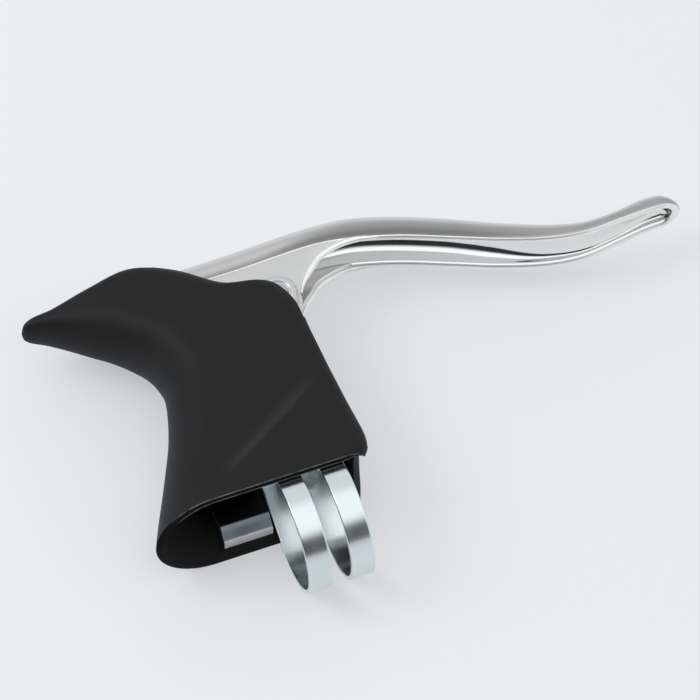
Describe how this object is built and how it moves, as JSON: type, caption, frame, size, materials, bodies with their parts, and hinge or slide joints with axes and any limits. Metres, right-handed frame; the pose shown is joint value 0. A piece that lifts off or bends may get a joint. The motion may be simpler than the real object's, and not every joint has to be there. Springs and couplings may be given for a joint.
{
  "type": "bicycle brake lever",
  "caption": "Drop-bar brake lever: hollow-backed blade pivoting in a cast bracket under a horned rubber hood, held to the bar by a two-hoop sheet band and bolt.",
  "frame": {"origin": "on the handlebar's axis, midway along the clamp band", "axes": "+X along the bar towards the blade's tip, +Y from the bar towards the front of the lever, +Z out of the lever's side, up as it lies on a table"},
  "size_m": [0.1452, 0.0835, 0.027],
  "materials": {
    "hood_rubber": "satin moulded rubber",
    "cast_alloy": "as cast",
    "polished_alloy": "polished",
    "pin_steel": "ground",
    "bush_nylon": "moulded",
    "anchor_brass": "turned",
    "zinc_steel": "bright zinc plate",
    "bolt_steel": "zinc plate"
  },
  "bodies": {
    "body": {"hood": "hood_rubber", "bracket": "cast_alloy", "pivot_pin": "pin_steel", "bolt_washer": "zinc_steel"},
    "lever": {"lever_blade": "polished_alloy", "pivot_bush_upper": "bush_nylon", "pivot_bush_lower": "bush_nylon"},
    "anchor": {"cable_anchor": "anchor_brass"},
    "bolt": {"clamp_bolt": "bolt_steel"},
    "clamp": {"clamp_band": "zinc_steel", "clamp_nut": "bolt_steel"}
  },
  "joints": [
    {"name": "lever_pull", "type": "hinge", "parent": "body", "child": "lever", "pos_m": [0.0095, 0.0518, 0], "axis": [0, 0, -1], "range_deg": [0, 26]},
    {"name": "anchor_turn", "type": "hinge", "parent": "lever", "child": "anchor", "pos_m": [-0.009, 0.058, 0], "axis": [0, 0, 1], "continuous": true},
    {"name": "bolt_turn", "type": "hinge", "parent": "body", "child": "bolt", "pos_m": [0, 0.026, 0], "axis": [0, -1, 0], "range_deg": [-1441, 0]},
    {"name": "band_slide", "type": "slide", "parent": "body", "child": "clamp", "axis": [0, 1, 0], "range_m": [-0.0032, 0]}
  ],
  "couplings": [
    {"joint": "bolt_turn", "follows": "band_slide", "rad_per_m": 7854}
  ]
}
